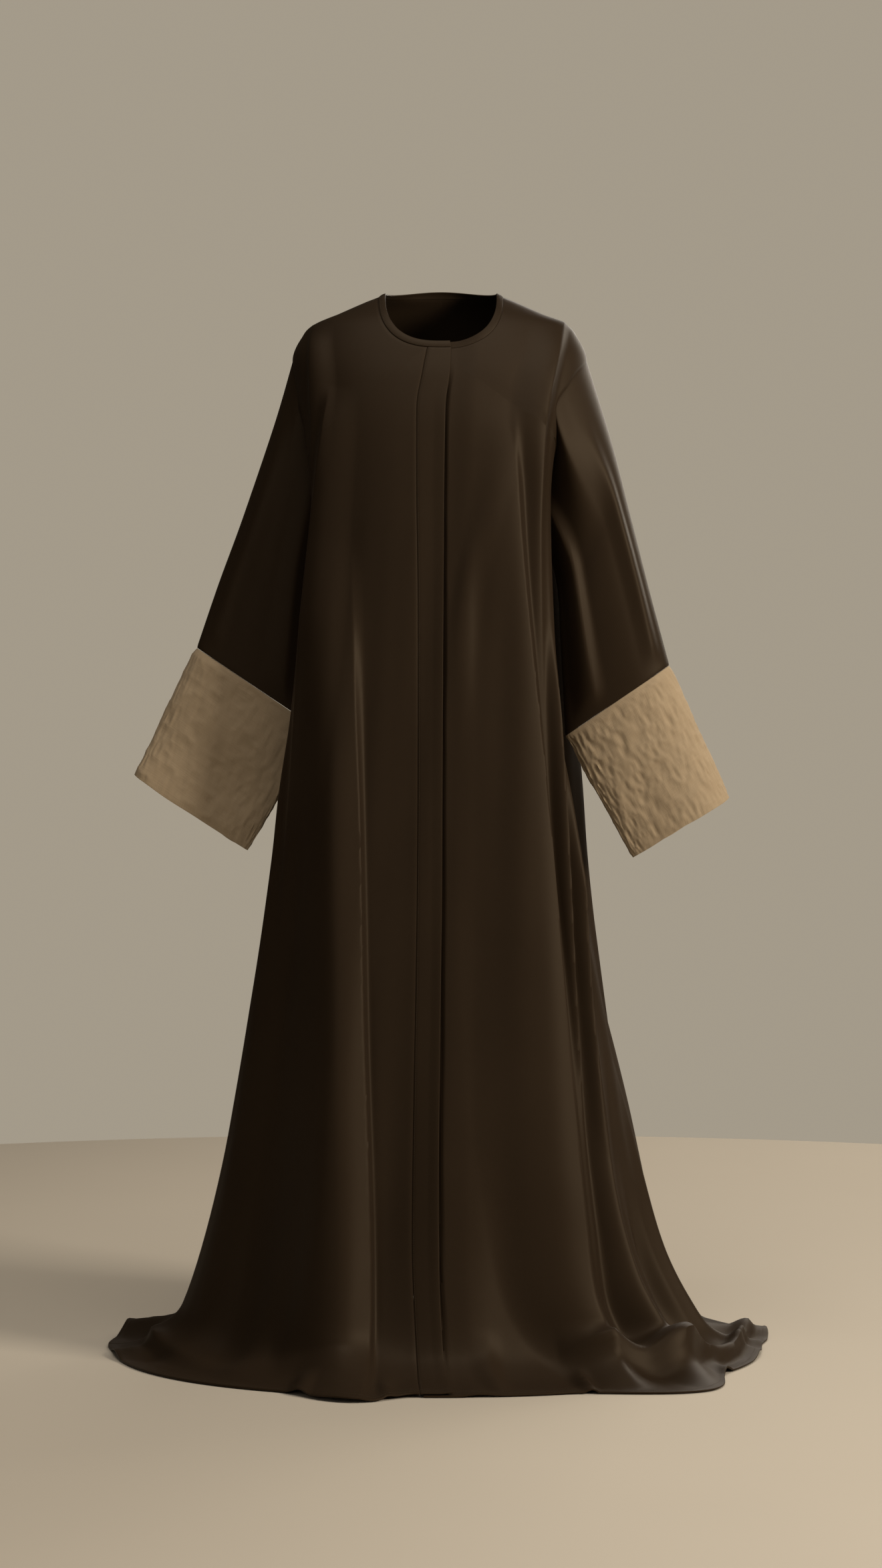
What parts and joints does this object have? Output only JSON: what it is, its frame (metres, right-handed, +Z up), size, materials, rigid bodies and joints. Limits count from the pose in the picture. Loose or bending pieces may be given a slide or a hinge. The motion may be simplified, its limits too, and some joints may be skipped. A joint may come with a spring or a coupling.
{
  "type": "abaya cloak",
  "caption": "Full-length wide-sleeved crepe abaya with a bound round neck, placket-closed front, contrast linen cuffs and a hem that pools on the floor, in hollow worn form.",
  "frame": {"origin": "centre of the neck opening at the height of the neck points, where the wearer's shoulders hold the cloak up", "axes": "+Z up along the body, the front faces -Y, the wearer's left is +X"},
  "size_m": [0.9178, 0.798, 1.4718],
  "materials": {
    "crepe": "dark olive-brown satin-backed crepe, fine twill-like grain, soft low sheen",
    "linen": "beige crinkled linen, matt, fine lengthwise crinkles"
  },
  "bodies": {
    "root": {"front_right": "crepe", "front_left": "crepe", "back": "crepe", "placket_band": "crepe", "neck_binding": "crepe", "sleeve_right": "crepe", "sleeve_left": "crepe", "cuff_right": "linen", "cuff_left": "linen"}
  },
  "joints": []
}
